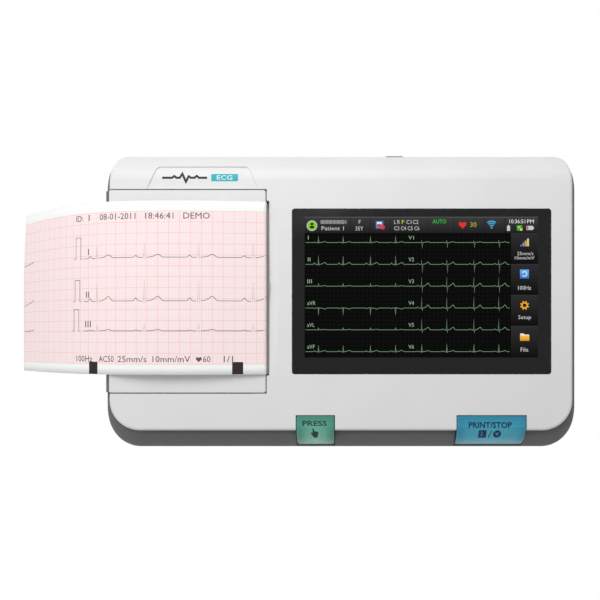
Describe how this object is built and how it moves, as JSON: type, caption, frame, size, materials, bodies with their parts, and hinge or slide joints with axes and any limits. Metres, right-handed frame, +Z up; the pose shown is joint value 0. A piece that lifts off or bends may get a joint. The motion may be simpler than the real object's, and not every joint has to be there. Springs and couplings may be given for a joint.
{
  "type": "ecg machine",
  "caption": "Portable ECG machine: sloping white case with touch display, chart paper door on the left with a printed strip, green release key and blue print key.",
  "frame": {"origin": "on the table under the centre of the whole outline, printed strip and earth pin included; the case itself is centred at X=+25 mm", "axes": "+Z up, +X to the right of somebody using the machine, +Y away from them, towards the sockets"},
  "size_m": [0.2747, 0.1388, 0.0527],
  "materials": {
    "cover_white": "smooth satin white moulded plastic",
    "base_grey": "fine-textured dark grey moulded plastic",
    "display_black": "black-edged cover glass, drawn opaque",
    "foam_black": "soft foam",
    "panel_metal": "folded steel",
    "key_green": "translucent green plastic",
    "key_blue": "translucent blue plastic",
    "steel_pin": "ground steel",
    "rubber_dark": "rubber",
    "gear_plastic": "natural acetal",
    "motor_can": "plated steel",
    "ceramic_white": "glazed ceramic strip",
    "tray_grey": "moulded plastic",
    "core_white": "moulded plastic",
    "chart_paper": "thermal chart paper with a pink grid",
    "board_green": "printed circuit board",
    "chip_black": "moulded packages",
    "socket_black": "moulded plastic",
    "socket_blue": "moulded plastic",
    "battery_wrap": "shrink-wrapped cells",
    "plated_brass": "nickel-plated brass",
    "screw_steel": "zinc-plated steel"
  },
  "bodies": {
    "case": {"base_shell": "base_grey", "battery_connector": "tray_grey", "battery_door": "base_grey", "battery_pack": "battery_wrap", "battery_screws": "screw_steel", "board_screws": "screw_steel", "case_screws": "screw_steel", "display_bracket": "panel_metal", "display_gasket": "foam_black", "display_glass": "display_black", "display_panel": "panel_metal", "earth_pin": "plated_brass", "feet": "rubber_dark", "front_end_board": "board_green", "gear_bracket": "panel_metal", "gear_stud": "steel_pin", "head_cradle": "panel_metal", "head_pivot": "steel_pin", "head_springs": "steel_pin", "hinge_pin": "steel_pin", "io_board": "board_green", "jack_screws": "plated_brass", "key_board": "board_green", "latch_pin": "steel_pin", "main_board": "board_green", "main_board_parts": "chip_black", "network_socket": "socket_black", "paper_sensor": "tray_grey", "paper_tray": "tray_grey", "paper_web": "chart_paper", "patient_insert": "socket_blue", "patient_socket": "panel_metal", "power_inlet": "socket_black", "print_switch": "tray_grey", "release_spring": "steel_pin", "shield_can": "panel_metal", "speaker": "tray_grey", "stepper_motor": "motor_can", "tear_bar": "steel_pin", "top_cover": "cover_white", "usb_socket": "panel_metal", "usb_tongue": "socket_black"},
    "door": {"door_cap": "cover_white", "door_frame": "base_grey", "platen_bushes": "gear_plastic", "chart_strip": "chart_paper"},
    "platen": {"platen_shaft": "steel_pin", "platen_rubber": "rubber_dark", "platen_gear": "gear_plastic"},
    "roll": {"paper_roll": "chart_paper", "roll_core": "core_white", "roll_spindle": "steel_pin"},
    "reduction": {"reduction_gear": "gear_plastic"},
    "motor_rotor": {"motor_pinion": "gear_plastic"},
    "print_head_unit": {"print_head": "ceramic_white", "head_bracket": "panel_metal"},
    "latch": {"latch_lever": "gear_plastic"},
    "release_key_unit": {"release_key": "key_green"},
    "print_key_unit": {"print_key": "key_blue"},
    "power_key_unit": {"power_key": "base_grey"}
  },
  "joints": [
    {"name": "door_hinge", "type": "hinge", "parent": "case", "child": "door", "pos_m": [-0.0786, -0.0011, 0.03654], "axis": [0, -0.9945, -0.1045], "range_deg": [0, 95], "deforming": ["chart_strip"]},
    {"name": "platen_spin", "type": "hinge", "parent": "door", "child": "platen", "pos_m": [-0.0142, -0.00078, 0.03356], "axis": [0, -0.9945, -0.1045], "continuous": true},
    {"name": "roll_spin", "type": "hinge", "parent": "case", "child": "roll", "pos_m": [-0.0546, 0.00005, 0.0256], "axis": [0, -0.9945, -0.1045], "continuous": true},
    {"name": "reduction_spin", "type": "hinge", "parent": "case", "child": "reduction", "pos_m": [-0.0142, -0.0426, 0.02005], "axis": [0, -0.9945, -0.1045], "continuous": true},
    {"name": "motor_spin", "type": "hinge", "parent": "case", "child": "motor_rotor", "pos_m": [-0.02379, -0.04704, 0.01446], "axis": [0, -0.9945, -0.1045], "continuous": true},
    {"name": "head_tilt", "type": "hinge", "parent": "case", "child": "print_head_unit", "pos_m": [-0.00675, 0.00539, 0.02264], "axis": [0, 0.9945, 0.1045], "range_deg": [0, 1.5], "stiffness_Nm_per_rad": 0.5, "deforming": ["head_springs"]},
    {"name": "release_press", "type": "slide", "parent": "case", "child": "release_key_unit", "axis": [0, 0.1045, -0.9945], "range_m": [0, 0.0015], "stiffness_N_per_m": 300, "deforming": ["release_spring"]},
    {"name": "latch_turn", "type": "hinge", "parent": "case", "child": "latch", "pos_m": [-0.0026, -0.04004, 0.0244], "axis": [0, 0.9945, 0.1045], "range_deg": [0, 6]},
    {"name": "print_press", "type": "slide", "parent": "case", "child": "print_key_unit", "axis": [0, 0.1045, -0.9945], "range_m": [0, 0.0008], "stiffness_N_per_m": 300},
    {"name": "power_press", "type": "slide", "parent": "case", "child": "power_key_unit", "axis": [0, -0.9945, -0.1045], "range_m": [0, 0.0008], "stiffness_N_per_m": 300}
  ],
  "couplings": [
    {"joint": "platen_spin", "follows": "roll_spin", "ratio": 2.7},
    {"joint": "reduction_spin", "follows": "roll_spin", "ratio": -3.375},
    {"joint": "motor_spin", "follows": "roll_spin", "ratio": 9.6429},
    {"joint": "latch_turn", "follows": "release_press", "rad_per_m": 69.806}
  ]
}
